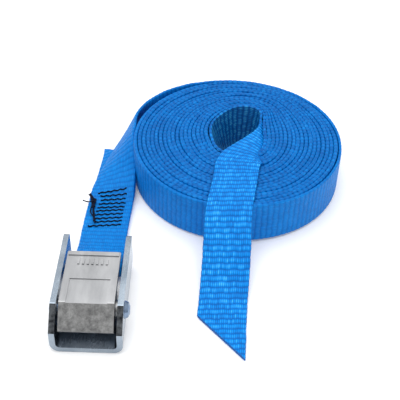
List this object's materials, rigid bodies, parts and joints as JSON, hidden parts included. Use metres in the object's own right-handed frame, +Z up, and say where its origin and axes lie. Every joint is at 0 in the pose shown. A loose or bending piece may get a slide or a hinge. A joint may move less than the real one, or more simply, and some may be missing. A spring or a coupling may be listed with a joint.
{
  "type": "cam buckle lashing strap",
  "caption": "Coiled webbing lashing strap with a sewn-on cam buckle: a press lever with a toothed cam grips the free webbing against the base of a pressed steel frame.",
  "frame": {"origin": "on the floor under the middle of the whole object's box, as it lies", "axes": "+Z up from the surface it lies on; +Y from the buckle's lip towards its rear bar and the coil; +X to the right"},
  "size_m": [0.1497, 0.2, 0.0295],
  "materials": {
    "webbing": "woven polyester, satin sheen",
    "thread": "black lock-stitch thread",
    "zinc_plate": "bright zinc plating, slightly blue",
    "rivet_steel": "zinc plated",
    "cast_zinc": "die cast, satin top and rough front",
    "spring_steel": "spring wire"
  },
  "bodies": {
    "strap": {"webbing_coil": "webbing", "webbing_lead": "webbing", "webbing_returned_end": "webbing", "webbing_anchor_loop": "webbing", "webbing_inner_twist": "webbing", "webbing_tail": "webbing", "stitching": "thread", "thread_knot": "thread"},
    "buckle": {"buckle_frame": "zinc_plate", "axle_rivet": "rivet_steel", "return_spring": "spring_steel"},
    "lever": {"cam_lever": "cast_zinc"}
  },
  "joints": [
    {"name": "buckle_swing", "type": "hinge", "parent": "strap", "child": "buckle", "pos_m": [-0.056, -0.0475, 0.00435], "axis": [-1, 0, 0], "range_deg": [-60, 90]},
    {"name": "cam_press", "type": "hinge", "parent": "buckle", "child": "lever", "pos_m": [-0.056, -0.083, 0.0135], "axis": [-1, 0, 0], "range_deg": [0, 28], "stiffness_Nm_per_rad": 0.15, "springref_deg": -34.38, "deforming": ["return_spring"]}
  ]
}
